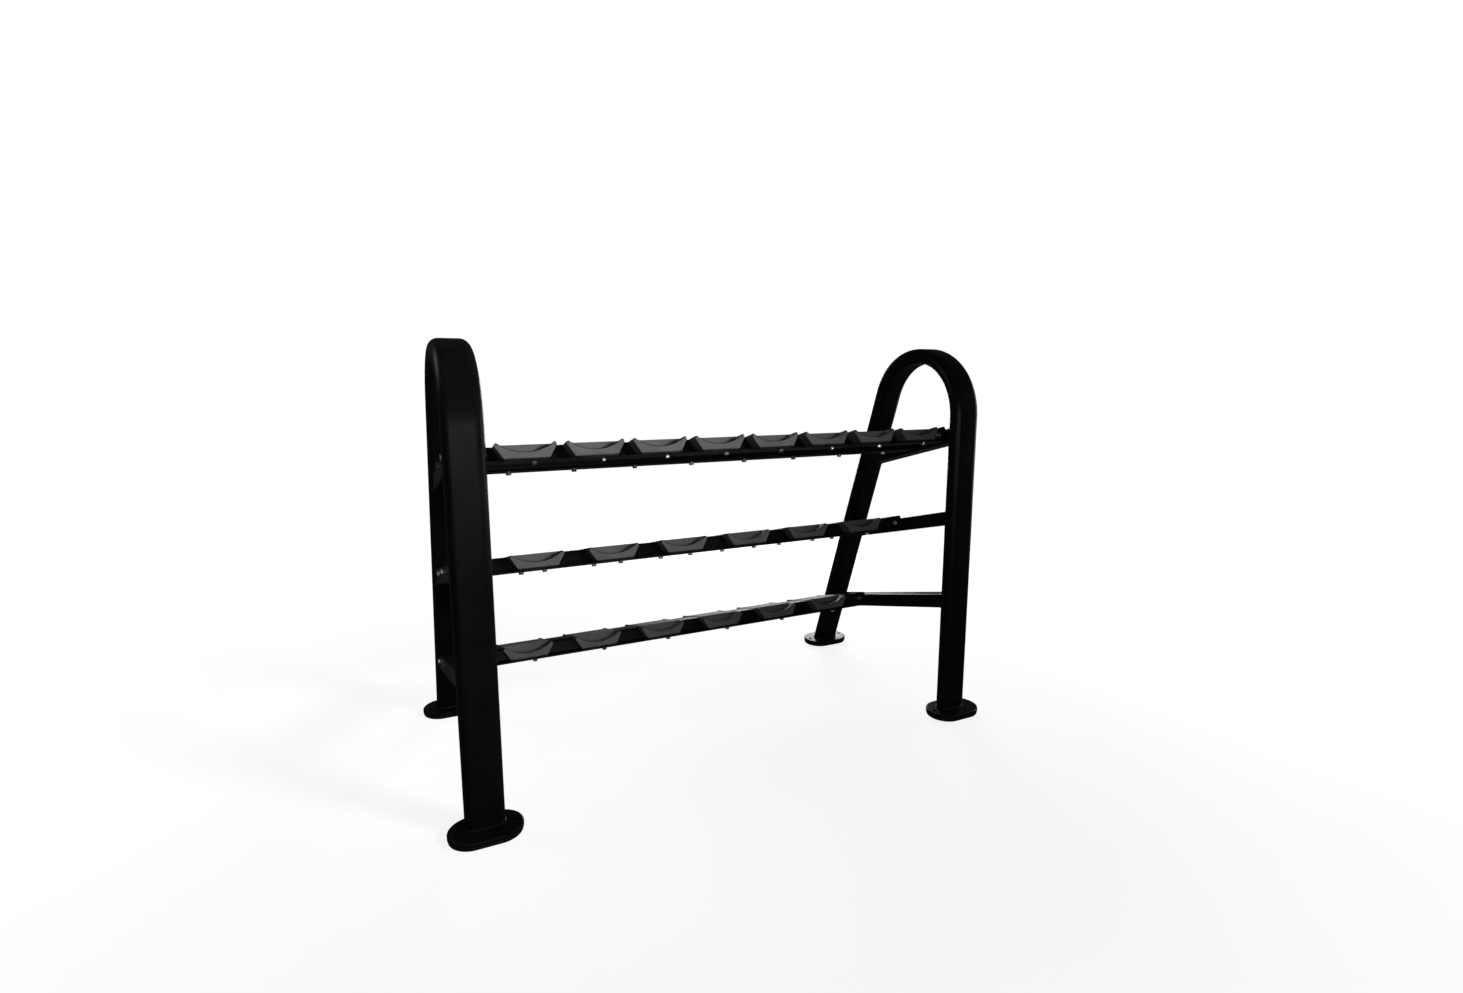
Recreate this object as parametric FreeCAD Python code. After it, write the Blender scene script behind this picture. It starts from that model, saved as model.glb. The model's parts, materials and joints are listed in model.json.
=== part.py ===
import FreeCAD, Part
import math
import os

# Three-tier saddle dumbbell rack.
# Millimetres, +Z up, X along the rack, user side towards -Y, origin on the floor
# under the middle of the rack.

V = FreeCAD.Vector

# ---------------------------------------------------------------- overall sizes
frame_spacing = 1550.0      # between the middle planes of the two end frames
rack_height = 1246.0        # floor to the top of the arches
foot_spread = 791.0         # between the middles of the rear and the front foot
rake_angle = 20.0           # lean of the front legs from the vertical
tray_tilt = 15.0            # trays and crossbars fall towards the user

# ---------------------------------------------------------------- end frames
tube_width = 100.0          # flat oval tube, across the flats' length (along X)
tube_depth = 50.0           # flat oval tube, between the flats
tube_wall = 3.0
foot_length = 188.0         # along X
foot_width = 126.0          # along Y
foot_plate_thickness = 12.0
foot_plate_edge = 4.0       # rounded upper edge of the foot plate
foot_pad_thickness = 10.0
foot_pad_inset = 1.5
rear_foot_setback = 12.0    # rear foot's middle behind its leg's middle line
anchor_hole_diameter = 13.0
anchor_hole_edge = 20.0     # anchor hole's middle to the foot's round end

# ---------------------------------------------------------------- crossbars
bar_step = 10.0             # bar's sides inside the legs' sides
bar_height = 46.0
bar_wall = 3.0
bar_corner = 5.0
bar_below_tray = 6.0        # underside of the bar below the tray flanges

# ---------------------------------------------------------------- tiers
top_tier_below_top = 329.4      # arch top down to the top tray's flanges
bottom_tier_height = 243.7      # floor up to the bottom tray's flanges
middle_tier_lift = 3.0          # middle tray above the mean of the other two
middle_tier_setback = 4.5       # middle tray in front of the mean of the other two
top_tray_clearance = 3.4        # top tray's rear corners to the round sides of the rear legs
bottom_tray_gap = 85.5          # front leg's middle line to the bottom tray's front edge

# ---------------------------------------------------------------- trays
sheet = 4.0
sheet_bend = 4.0            # inside radius of every bend
tray_width = 198.0          # over both flanges
channel_width = 113.0       # over the two webs
channel_height = 47.3       # underside of the flanges to the top of the channel
end_plate_thickness = 5.0
end_plate_inset = 4.0       # end plate's edges inside the tray's edges
end_plate_rise = 3.0        # end plate above the channel
end_plate_corner = 8.0      # rounded upper corners
end_bolt_diameter = 10.0
end_bolt_height = 25.0      # above the flanges' underside
end_washer_gap = 0.5        # end bolt's washer to the channel's web
end_bolt_stick_out = 3.0    # thread beyond the nut

# ---------------------------------------------------------------- saddles
saddle_counts = (8, 6, 6)               # top, middle, bottom
saddle_end_gaps = (28.45, 86.5, 86.5)   # end saddles to the end plates
saddle_top_width = 155.0
saddle_base_width = 114.0
saddle_shoulder = 8.0       # widest line of the saddle below its top
saddle_tip_inset = 5.0      # saddle's top edge inside its widest line
saddle_tip_rise = 1.5       # tips of the cradles above the bridge, before rounding
saddle_corner = 3.0         # rounded corners of the cradle's outline
saddle_cover = 2.0          # saddle material over the channel
saddle_fit = 0.2            # gap between the saddle and the channel
saddle_overhang = 1.0       # tray edge beyond the saddle's end face
cradle_depth = 24.1         # lowest line of the cradle below the saddle's top
cradle_tip_inset = 4.46     # cradle's tips inside the widest line, before rounding
saddle_edge = 2.0           # rounded edges of the end faces
pad_thickness = 4.3
pad_inset = 4.0
pad_bend_gap = 1.0          # pad to the end of the tray's bend
bolt_diameter = 8.0
bolt_from_edge = 15.0       # saddle bolt to the tray's edge
bolt_stagger = 18.5         # saddle bolt off the saddle's middle line
bolt_tip_gap = 2.0          # bolt's end to the insert's end
hole_clearance = 1.0        # hole over bolt diameter
washer_clearance = 0.4      # washer's hole over bolt diameter
insert_diameter = 12.0
insert_cover = 1.1          # saddle material between an insert and the seat's lowest line

# ---------------------------------------------------------------- fasteners
hex_head_8 = (13.0, 5.3)    # across flats, height
hex_head_10 = (17.0, 6.4)
hex_nut_10 = (17.0, 8.4)
washer_8 = (16.0, 1.6)      # outside diameter, thickness
washer_10 = (20.0, 2.0)

# ---------------------------------------------------------------- derived places
tilt = math.radians(tray_tilt)
rake = math.radians(rake_angle)
foot_top = foot_pad_thickness + foot_plate_thickness
rear_foot_y = foot_spread / 2
front_foot_y = -foot_spread / 2
rear_y = rear_foot_y - rear_foot_setback
front_y = front_foot_y
leg_spread = rear_y - front_y
apex = rack_height - tube_depth / 2
rise = apex - foot_top
arch_radius = (leg_spread * math.cos(rake) - rise * math.sin(rake)) / (
    1 + math.cos(rake) - math.sin(rake))
arch_y = rear_y - arch_radius
arch_z = apex - arch_radius
anchor_hole_spacing = foot_length - 2 * anchor_hole_edge
bar_width = tube_width - 2 * bar_step
bar_inner_x = frame_spacing / 2 - bar_width / 2
channel_end = bar_inner_x - end_plate_thickness
half_tray = tray_width / 2
bolt_reach = half_tray - bolt_from_edge
end_bolt_reach = channel_width / 2 + end_washer_gap + washer_10[0] / 2
saddle_base = sheet + pad_thickness
saddle_top = channel_height + saddle_fit + saddle_cover
saddle_half_length = half_tray - saddle_overhang
insert_length = saddle_top - cradle_depth - saddle_base - insert_cover


def front_leg_y(z):
    """Middle line of a front leg at height z."""
    return front_y + (z - foot_top) * math.tan(rake)


def leg_reach_at(inset):
    """Half depth of the flat oval tube, inset from its round side."""
    r = tube_depth / 2
    return math.sqrt(r ** 2 - max(0.0, r - inset) ** 2)


def tier_origins():
    """(y, z) of the middle of each tray's flange underside: top, middle, bottom."""
    reach_y = half_tray * math.cos(tilt)
    reach_z = half_tray * math.sin(tilt)
    top_y = rear_y - leg_reach_at(bar_step) - top_tray_clearance - reach_y
    top = (top_y, rack_height - top_tier_below_top)
    bottom_z = bottom_tier_height
    bottom = (front_leg_y(bottom_z - reach_z) + bottom_tray_gap + reach_y, bottom_z)
    middle = ((top[0] + bottom[0]) / 2 - middle_tier_setback,
              (top[1] + bottom[1]) / 2 + middle_tier_lift)
    return (top, middle, bottom)


def saddle_places(count, end_gap):
    """Middle of each saddle along X, from the -X end."""
    reach = channel_end - end_gap - saddle_top_width / 2
    return [reach * (2 * i / (count - 1) - 1) for i in range(count)]


TIERS = dict(zip(("top", "middle", "bottom"),
                 zip(tier_origins(), map(saddle_places, saddle_counts, saddle_end_gaps))))


# ---------------------------------------------------------------- small helpers
def save(name, *solids):
    """Write one sub-part, one or more separate solids."""
    shape = solids[0] if len(solids) == 1 else Part.makeCompound(list(solids))
    shape.exportStep("parts/" + name + ".step")


def onto_tier(shape, origin):
    """Move a shape from tray coordinates (x, up the slope, off the slope) to its tier."""
    placed = shape.copy()
    placed.rotate(V(0, 0, 0), V(1, 0, 0), tray_tilt)
    placed.translate(V(0, origin[0], origin[1]))
    return placed


def moved(shape, x=0.0, y=0.0, z=0.0):
    placed = shape.copy()
    placed.translate(V(x, y, z))
    return placed


def mirrored_x(shape):
    return shape.mirror(V(0, 0, 0), V(1, 0, 0))


def wire_of(points):
    return Part.makePolygon(list(points) + [points[0]])


def stadium(length, width, z):
    """Flat face with two straight sides and two half-round ends, long along X."""
    r = width / 2
    c = length / 2 - r
    edges = [
        Part.LineSegment(V(-c, -r, z), V(c, -r, z)).toShape(),
        Part.Arc(V(c, -r, z), V(c + r, 0, z), V(c, r, z)).toShape(),
        Part.LineSegment(V(c, r, z), V(-c, r, z)).toShape(),
        Part.Arc(V(-c, r, z), V(-c - r, 0, z), V(-c, -r, z)).toShape(),
    ]
    return Part.Face(Part.Wire(edges))


def hex_prism(across_flats, height):
    radius = across_flats / math.sqrt(3)
    corners = [V(radius * math.cos(math.radians(60 * k)),
                 radius * math.sin(math.radians(60 * k)), 0) for k in range(6)]
    return Part.Face(wire_of(corners)).extrude(V(0, 0, height))


def hex_bolt(head, diameter, length):
    """Head below z = 0, shank up to z = length."""
    across_flats, height = head
    body = moved(hex_prism(across_flats, height), z=-height)
    return body.fuse(Part.makeCylinder(diameter / 2, length)).removeSplitter()


def ring(outer, inner, thickness):
    return Part.makeCylinder(outer / 2, thickness).cut(
        Part.makeCylinder(inner / 2, thickness))


# ---------------------------------------------------------------- end frames
def bent_tube(width, depth):
    """Solid flat oval bar: rear leg, arch and raked front leg in the plane x = 0."""
    section = stadium(width, depth, arch_z)
    rear_section = moved(section, y=rear_y)
    rear_leg = rear_section.extrude(V(0, 0, -arch_z))
    turn = 180.0 - rake_angle
    arch = rear_section.revolve(V(0, arch_y, arch_z), V(1, 0, 0), turn)
    front_section = rear_section.copy()
    front_section.rotate(V(0, arch_y, arch_z), V(1, 0, 0), turn)
    reach = (arch_z + arch_radius) / math.cos(rake)
    down = V(0, -math.sin(rake), -math.cos(rake))
    front_leg = front_section.extrude(down.multiply(reach))
    return rear_leg.fuse([arch, front_leg]).removeSplitter()


def above_feet():
    size = 4 * (rack_height + foot_spread)
    return Part.makeBox(size, size, size, V(-size / 2, -size / 2, foot_top))


def make_frame_tube():
    outer = bent_tube(tube_width, tube_depth).common(above_feet())
    inner = bent_tube(tube_width - 2 * tube_wall, tube_depth - 2 * tube_wall)
    return outer.cut(inner).Solids[0]


def inside_of_frame():
    """Slab bounded by the middle line of the bent tube and the feet's upper face."""
    joint = V(0, arch_y - arch_radius * math.cos(rake), arch_z + arch_radius * math.sin(rake))
    crown = V(0, arch_y, arch_z + arch_radius)
    start = V(0, rear_y, arch_z)
    edges = [
        Part.LineSegment(V(0, rear_y, foot_top), start).toShape(),
        Part.Arc(start, crown, joint).toShape(),
        Part.LineSegment(joint, V(0, front_y, foot_top)).toShape(),
        Part.LineSegment(V(0, front_y, foot_top), V(0, rear_y, foot_top)).toShape(),
    ]
    slab = Part.Face(Part.Wire(edges)).extrude(V(2 * tube_width, 0, 0))
    return moved(slab, x=-tube_width)


def make_foot_plate():
    plate = stadium(foot_length, foot_width, 0).extrude(V(0, 0, foot_plate_thickness))
    upper = [e for e in plate.Edges
             if abs(e.BoundBox.ZMin - foot_plate_thickness) < 1e-6
             and abs(e.BoundBox.ZMax - foot_plate_thickness) < 1e-6]
    plate = plate.makeFillet(foot_plate_edge, upper)
    return drill_anchor_holes(plate, foot_plate_thickness)


def make_foot_pad():
    pad = stadium(foot_length - 2 * foot_pad_inset, foot_width - 2 * foot_pad_inset, 0)
    return drill_anchor_holes(pad.extrude(V(0, 0, foot_pad_thickness)), foot_pad_thickness)


def drill_anchor_holes(plate, thickness):
    for side in (-1, 1):
        drill = Part.makeCylinder(anchor_hole_diameter / 2, thickness)
        plate = plate.cut(moved(drill, x=side * anchor_hole_spacing / 2))
    return plate


# ---------------------------------------------------------------- crossbars
def rounded_box(width, length, height, radius):
    """Bar along Y, centred on x = 0 and y = 0, from z = 0 up, with rounded long edges."""
    box = Part.makeBox(width, length, height, V(-width / 2, -length / 2, 0))
    long_edges = [e for e in box.Edges if abs(e.BoundBox.YLength - length) < 1e-6]
    return box.makeFillet(radius, long_edges)


def make_crossbar(origin, frame_core, opening):
    """Square-cut bar along the slope, coped to the two legs and drilled for the tray."""
    length = 3 * foot_spread
    outer = rounded_box(bar_width, length, bar_height, bar_corner)
    inner = rounded_box(bar_width - 2 * bar_wall, length, bar_height - 2 * bar_wall,
                        bar_corner - bar_wall)
    bar = outer.cut(moved(inner, z=bar_wall))
    for side in (-1, 1):
        drill = Part.makeCylinder((end_bolt_diameter + hole_clearance) / 2, 2 * bar_width,
                                  V(-bar_width, side * end_bolt_reach,
                                    end_bolt_height + bar_below_tray),
                                  V(1, 0, 0))
        bar = bar.cut(drill)
    bar = onto_tier(moved(bar, z=-bar_below_tray), origin)
    return bar.common(opening).cut(frame_core).Solids[0]


# ---------------------------------------------------------------- trays
def hat_section():
    """Closed outline of the bent sheet in the plane x = 0."""
    web = channel_width / 2
    top = channel_height
    r_in = sheet_bend
    r_out = sheet_bend + sheet
    k = math.sqrt(0.5)

    def skin(side):
        upper = [
            Part.LineSegment(V(0, side * half_tray, sheet),
                             V(0, side * (web + r_in), sheet)).toShape(),
            Part.Arc(V(0, side * (web + r_in), sheet),
                     V(0, side * (web + r_in - r_in * k), sheet + r_in - r_in * k),
                     V(0, side * web, sheet + r_in)).toShape(),
            Part.LineSegment(V(0, side * web, sheet + r_in),
                             V(0, side * web, top - r_out)).toShape(),
            Part.Arc(V(0, side * web, top - r_out),
                     V(0, side * (web - r_out + r_out * k), top - r_out + r_out * k),
                     V(0, side * (web - r_out), top)).toShape(),
        ]
        lower = [
            Part.LineSegment(V(0, side * half_tray, 0),
                             V(0, side * (web + r_in), 0)).toShape(),
            Part.Arc(V(0, side * (web + r_in), 0),
                     V(0, side * (web + r_in - r_out * k), r_out - r_out * k),
                     V(0, side * (web - sheet), r_out)).toShape(),
            Part.LineSegment(V(0, side * (web - sheet), r_out),
                             V(0, side * (web - sheet), top - r_out)).toShape(),
            Part.Arc(V(0, side * (web - sheet), top - r_out),
                     V(0, side * (web - r_out + r_in * k), top - r_out + r_in * k),
                     V(0, side * (web - r_out), top - sheet)).toShape(),
        ]
        edge = Part.LineSegment(V(0, side * half_tray, 0),
                                V(0, side * half_tray, sheet)).toShape()
        return upper + lower + [edge]

    tops = [Part.LineSegment(V(0, -(web - r_out), z), V(0, web - r_out, z)).toShape()
            for z in (top, top - sheet)]
    edges = skin(1) + skin(-1) + tops
    return Part.Face(Part.Wire(Part.__sortEdges__(edges)))


def saddle_bolt_places(saddles):
    """(x, y) of the two bolts of every saddle, in tray coordinates."""
    return [(x - side * bolt_stagger, side * bolt_reach) for x in saddles for side in (1, -1)]


def make_tray(bolt_places):
    tray = moved(hat_section().extrude(V(2 * channel_end, 0, 0)), x=-channel_end)
    for x, y in bolt_places:
        drill = Part.makeCylinder((bolt_diameter + hole_clearance) / 2, sheet)
        tray = tray.cut(moved(drill, x=x, y=y))
    return tray.Solids[0]


def make_end_plate():
    """Plate on the +X end of a tray."""
    width = tray_width - 2 * end_plate_inset
    height = channel_height + end_plate_rise
    plate = Part.makeBox(end_plate_thickness, width, height, V(channel_end, -width / 2, 0))
    upright = [e for e in plate.Edges
               if abs(e.BoundBox.XLength - end_plate_thickness) < 1e-6
               and e.BoundBox.ZMin > height - 1e-6]
    plate = plate.makeFillet(end_plate_corner, upright)
    for side in (-1, 1):
        drill = Part.makeCylinder((end_bolt_diameter + hole_clearance) / 2, end_plate_thickness,
                                  V(channel_end, side * end_bolt_reach, end_bolt_height),
                                  V(1, 0, 0))
        plate = plate.cut(drill)
    return plate


# ---------------------------------------------------------------- saddles
def rounded_outline(edges, radius):
    """Face inside a closed outline, its outward corners rounded."""
    face = Part.Face(Part.Wire(edges))
    return face.makeOffset2D(-radius).makeOffset2D(radius)


def saddle_flank(side, tip_x, tip_z):
    """Corner points of one side of a saddle, base to tip."""
    base = side * saddle_base_width / 2
    wide = side * saddle_top_width / 2
    return [V(base, 0, saddle_base), V(wide, 0, saddle_top - saddle_shoulder), V(tip_x, 0, tip_z)]


def outline_edges(points):
    return [Part.LineSegment(a, b).toShape() for a, b in zip(points, points[1:])]


def cradle_outline():
    """Cross-section with the round seat for a dumbbell's head."""
    tip_x = saddle_top_width / 2 - cradle_tip_inset
    tip_z = saddle_top + saddle_tip_rise
    right = saddle_flank(1, tip_x, tip_z)
    left = saddle_flank(-1, -tip_x, tip_z)
    edges = outline_edges(left[::-1] + right)
    edges.append(Part.Arc(right[-1], V(0, 0, saddle_top - cradle_depth), left[-1]).toShape())
    return rounded_outline(edges, saddle_corner)


def bridge_outline():
    """Cross-section with the straight top that spans the channel."""
    tip_x = saddle_top_width / 2 - saddle_tip_inset
    right = saddle_flank(1, tip_x, saddle_top)
    left = saddle_flank(-1, -tip_x, saddle_top)
    return rounded_outline(outline_edges(right + left[::-1] + right[:1]), saddle_corner)


def make_saddle():
    """Moulded saddle: a round-bottomed cradle at each end, bridging the channel."""
    hollow_half = channel_width / 2 + saddle_fit
    wall = hollow_half + saddle_cover
    bridge = moved(bridge_outline().extrude(V(0, 2 * wall, 0)), y=-wall)
    bridge = bridge.cut(Part.makeBox(2 * saddle_top_width, 2 * hollow_half,
                                     channel_height + saddle_fit,
                                     V(-saddle_top_width, -hollow_half, 0)))
    block = cradle_outline().extrude(V(0, saddle_half_length - wall, 0))
    block = round_end_face(moved(block, y=wall))
    pocket = Part.makeCylinder(insert_diameter / 2, insert_length)
    block = block.cut(moved(pocket, x=-bolt_stagger, y=bolt_reach, z=saddle_base))
    turned = block.copy()
    turned.rotate(V(0, 0, 0), V(0, 0, 1), 180)
    return bridge.fuse([block, turned]).removeSplitter().Solids[0]


def round_end_face(block):
    """Round the edges of the outer end face, all but the base."""
    picked = [e for e in block.Edges
              if e.BoundBox.YMin > saddle_half_length - 1e-6
              and e.BoundBox.ZMax > saddle_base + 1e-6
              and e.BoundBox.XLength < saddle_top_width]
    return block.makeFillet(saddle_edge, picked)


def make_pads(saddles):
    """Two strips under each saddle, one on each flange of the tray."""
    width = saddle_base_width - 2 * pad_inset
    inner = channel_width / 2 + sheet_bend + pad_bend_gap
    length = saddle_half_length - pad_inset - inner
    pads = []
    for x in saddles:
        for side in (1, -1):
            low = inner if side > 0 else -inner - length
            pad = Part.makeBox(width, length, pad_thickness, V(x - width / 2, low, sheet))
            drill = Part.makeCylinder((bolt_diameter + hole_clearance) / 2, pad_thickness)
            place = V(x - side * bolt_stagger, side * bolt_reach, sheet)
            pads.append(pad.cut(moved(drill, place.x, place.y, place.z)))
    return pads


# ---------------------------------------------------------------- fasteners of a tier
def make_saddle_bolts(places):
    """Bolts from below, head under the washer, shank up into the insert."""
    washer = washer_8[1]
    length = washer + sheet + pad_thickness + insert_length - bolt_tip_gap
    bolt = hex_bolt(hex_head_8, bolt_diameter, length)
    return [moved(bolt, x, y, -washer) for x, y in places]


def make_saddle_washers(places):
    washer = ring(washer_8[0], bolt_diameter + washer_clearance, washer_8[1])
    return [moved(washer, x, y, -washer_8[1]) for x, y in places]


def make_inserts(places):
    insert = ring(insert_diameter, bolt_diameter, insert_length)
    return [moved(insert, x, y, saddle_base) for x, y in places]


def end_fasteners(origin):
    """Through bolts of one tier: head and washer outside the bar, nut inside the plate."""
    outer = frame_spacing / 2 + bar_width / 2
    washer = ring(washer_10[0], end_bolt_diameter + washer_clearance, washer_10[1])
    nut = hex_prism(*hex_nut_10).cut(Part.makeCylinder(end_bolt_diameter / 2, hex_nut_10[1]))
    length = (bar_width + end_plate_thickness + 2 * washer_10[1] + hex_nut_10[1]
              + end_bolt_stick_out)
    bolt = hex_bolt(hex_head_10, end_bolt_diameter, length)
    bolts, washers, nuts = [], [], []
    for side in (-1, 1):
        for target, piece, x in ((bolts, bolt, outer + washer_10[1]),
                                 (washers, washer, outer + washer_10[1]),
                                 (washers, washer, channel_end),
                                 (nuts, nut, channel_end - washer_10[1])):
            turned = piece.copy()
            turned.rotate(V(0, 0, 0), V(0, 1, 0), -90)
            turned = moved(turned, x=x, y=side * end_bolt_reach, z=end_bolt_height)
            target.append(onto_tier(turned, origin))
            target.append(onto_tier(mirrored_x(turned), origin))
    return bolts, washers, nuts


# ---------------------------------------------------------------- build
def build():
    os.makedirs("parts", exist_ok=True)
    frame_x = frame_spacing / 2
    sides = (("left", frame_x), ("right", -frame_x))

    frame_tube = make_frame_tube()
    foot_plate = make_foot_plate()
    foot_pad = make_foot_pad()
    for side, x in sides:
        save(side + "_end_frame", moved(frame_tube, x=x))
        for end, y in (("rear", rear_foot_y), ("front", front_foot_y)):
            save(side + "_" + end + "_foot_plate", moved(foot_plate, x, y, foot_pad_thickness))
            save(side + "_" + end + "_foot_pad", moved(foot_pad, x, y, 0))

    core = bent_tube(tube_width, tube_depth)
    opening = inside_of_frame()
    saddle = make_saddle()
    end_plate = make_end_plate()
    all_bolts, all_washers, all_nuts = [], [], []
    for tier, (origin, saddles) in TIERS.items():
        crossbar = make_crossbar(origin, core, opening)
        for side, x in sides:
            save(tier + "_" + side + "_crossbar", moved(crossbar, x=x))
        places = saddle_bolt_places(saddles)
        save(tier + "_tray", onto_tier(make_tray(places), origin))
        save(tier + "_left_end_plate", onto_tier(end_plate, origin))
        save(tier + "_right_end_plate", onto_tier(mirrored_x(end_plate), origin))
        for number, x in enumerate(saddles, 1):
            save(tier + "_saddle_" + str(number), onto_tier(moved(saddle, x=x), origin))
        groups = (("_saddle_pads", make_pads(saddles)),
                  ("_saddle_bolts", make_saddle_bolts(places)),
                  ("_saddle_washers", make_saddle_washers(places)),
                  ("_saddle_inserts", make_inserts(places)))
        for name, solids in groups:
            save(tier + name, *[onto_tier(solid, origin) for solid in solids])
        bolts, washers, nuts = end_fasteners(origin)
        all_bolts += bolts
        all_washers += washers
        all_nuts += nuts
    save("tray_end_bolts", *all_bolts)
    save("tray_end_washers", *all_washers)
    save("tray_end_nuts", *all_nuts)


build()
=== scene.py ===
"""Looks for the three-tier saddle dumbbell rack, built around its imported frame."""

import json
import math

import bmesh
import bpy
from bpy.props import FloatProperty, FloatVectorProperty, IntProperty, PointerProperty
from mathutils import Matrix, Vector

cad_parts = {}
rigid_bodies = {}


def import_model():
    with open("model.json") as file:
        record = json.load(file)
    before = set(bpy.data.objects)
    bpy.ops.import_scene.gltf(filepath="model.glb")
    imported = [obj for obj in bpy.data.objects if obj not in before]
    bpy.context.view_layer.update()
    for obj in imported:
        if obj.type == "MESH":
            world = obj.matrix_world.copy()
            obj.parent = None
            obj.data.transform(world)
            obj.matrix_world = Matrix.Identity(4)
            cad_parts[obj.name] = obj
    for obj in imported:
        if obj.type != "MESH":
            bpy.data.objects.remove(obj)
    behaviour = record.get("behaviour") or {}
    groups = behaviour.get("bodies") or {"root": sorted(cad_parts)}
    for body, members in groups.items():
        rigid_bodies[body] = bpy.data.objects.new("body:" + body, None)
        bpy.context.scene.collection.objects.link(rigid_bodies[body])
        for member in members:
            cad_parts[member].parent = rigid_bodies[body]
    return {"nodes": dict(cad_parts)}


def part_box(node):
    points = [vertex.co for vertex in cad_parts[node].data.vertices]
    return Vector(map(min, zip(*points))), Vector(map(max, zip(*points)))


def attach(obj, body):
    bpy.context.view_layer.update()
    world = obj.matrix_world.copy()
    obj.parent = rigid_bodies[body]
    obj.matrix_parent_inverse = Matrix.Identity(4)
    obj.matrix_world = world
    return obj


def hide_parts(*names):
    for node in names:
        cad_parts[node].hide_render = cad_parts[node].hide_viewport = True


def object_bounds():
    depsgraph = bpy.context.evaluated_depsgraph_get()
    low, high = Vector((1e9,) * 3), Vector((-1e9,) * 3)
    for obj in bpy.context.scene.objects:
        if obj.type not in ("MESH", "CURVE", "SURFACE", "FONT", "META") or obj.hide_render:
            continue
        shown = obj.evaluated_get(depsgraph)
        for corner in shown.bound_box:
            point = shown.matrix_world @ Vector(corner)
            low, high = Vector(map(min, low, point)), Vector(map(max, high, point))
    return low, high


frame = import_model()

bl_info = {
    "name": "Saddle Dumbbell Rack",
    "version": (1, 0, 0),
    "blender": (4, 5, 0),
    "location": "3D View > Sidebar > Rack",
    "description": "Builds the visible pieces of a saddle dumbbell rack around its frame",
    "category": "Add Mesh",
}

CAD_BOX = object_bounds()
MM = 0.001
SIDES = ("left", "right")
TIERS = ("top", "middle", "bottom")

# Steps that the round shapes are drawn with.
SEAT_STEPS = 40
SADDLE_EDGE_STEPS = 5
ARCH_STEPS = 72
FOOT_STEPS = 28
HOLE_STEPS = 32
PAD_HOLE_STEPS = 20
FASTENER_STEPS = 36
FLOOR_STEPS = 96
QUARTER_STEPS = 6
BEAD_STEPS = 10
CORNER_STEPS = 8

# Weld beads: their rings' spacing, how far they stand off the joint, and their ripple.
BEAD_SPACING = 1.3 * MM
BEAD_LIFT = 0.3
BEAD_RIPPLE = 0.13
RIPPLE_LENGTH = 2.2 * MM

# Painted shade on the saddles' seat rims: a saddle's end face or seat isn't darkened; only faces
# whose normal's share square to the slope lies between these are.
RIM_NORMALS = (0.12, 0.998)

# Edges and gaps too small to be worth a setting.
CUT_EDGE = 0.5 * MM
HOLE_CHAMFER = 0.8 * MM
SADDLE_BASE_CORNER = 1.2 * MM
PAD_CORNER = 2.0 * MM
PAD_EDGE = 0.6 * MM
PAD_HOLE = 4.5 * MM
PAD_BEND_GAP = 1.0 * MM
END_PLATE_INSET = 4 * MM
END_PLATE_RISE = 3 * MM
END_WASHER_GAP = 0.5 * MM
END_BOLT_STICK_OUT = 3 * MM

# Sizes of the fasteners, and how the bolts are turned.
SADDLE_BOLT = {"across_flats": 13 * MM, "height": 5.3 * MM, "diameter": 8 * MM,
               "pitch": 1.25 * MM}
END_BOLT = {"across_flats": 17 * MM, "height": 6.4 * MM, "diameter": 10 * MM,
            "pitch": 1.5 * MM}
END_NUT = {**END_BOLT, "height": 8.4 * MM}
SADDLE_WASHER = {"outside": 16 * MM, "inside": 8.4 * MM}
END_WASHER = {"outside": 20 * MM, "inside": 10.4 * MM}
INSERT = {"outside": 12 * MM, "bore": 8 * MM}
HEX_CORNER = 0.1547     # a hexagon's corners beyond its flats, as a share
BOLT_TWIST = 37.0       # turn of a saddle bolt, in radians per metre along the tray
END_BOLT_TWIST = 0.4    # turn of an end bolt one way or the other, in radians
THREAD_DEPTH = 0.55     # of the pitch
INSERT_GROOVES = (0.32, 0.62)   # where an insert's grooves start, as shares of its length
KNURL_DEPTH = 0.02      # of the radius

# Lamps: name, place, aim (None for the rack's middle), width, height, watts and the
# spread in degrees.
LAMPS = (
    ("key", (-1.2, 2.6, 1.9), (0.72, 0.33, 1.0), 0.6, 0.6, 4.9, 46.0),
    ("side", (2.2, -0.8, 2.2), (0.82, 0.38, 1.15), 0.8, 0.8, 2.5, 180.0),
    ("rear", (1.2, 4.6, 1.15), (0.3, 0.4, 0.95), 4.4, 0.85, 16.0, 180.0),
    ("glint", (-0.3, 4.0, 2.5), None, 3.0, 1.4, 45.0, 180.0),
    ("right", (-2.6, 0.3, 1.0), None, 1.2, 1.2, 6.0, 180.0),
    ("front", (-1.6, -2.5, 1.0), None, 1.6, 1.0, 27.0, 180.0),
)
WORLD_LIGHT = 0.03
WORLD_SEEN = 1.0

# Floor: radii of its rings, depth below the feet, and its glow, which rises from 0.86
# at 1.3 m from the middle to 1.0 at 3.2 m.
FLOOR_RINGS = (0.01, 3.0, 60.0)
FLOOR_DROP = 0.2 * MM
FLOOR_GLOW = (1.3, 3.2, 0.86, 1.0)

# Camera behind the rack's left end.
CAMERA_PLACE = (0.9757, 2.2012, 1.1433)
CAMERA_HEADING = math.radians(26.43)
CAMERA_PITCH = math.radians(9.1)
CAMERA_SENSOR = 36.0
CAMERA_LENS = 18.03
CAMERA_REACH = 200.0


# ---------------------------------------------------------------- sizes and finishes
# Each of these four makes a property from its default, name and description.
def size_property(mm, name, description):
    return FloatProperty(name=name, description=description, default=mm * MM, unit="LENGTH")


def angle_property(degrees, name, description):
    return FloatProperty(name=name, description=description, default=math.radians(degrees),
                         subtype="ANGLE")


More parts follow.
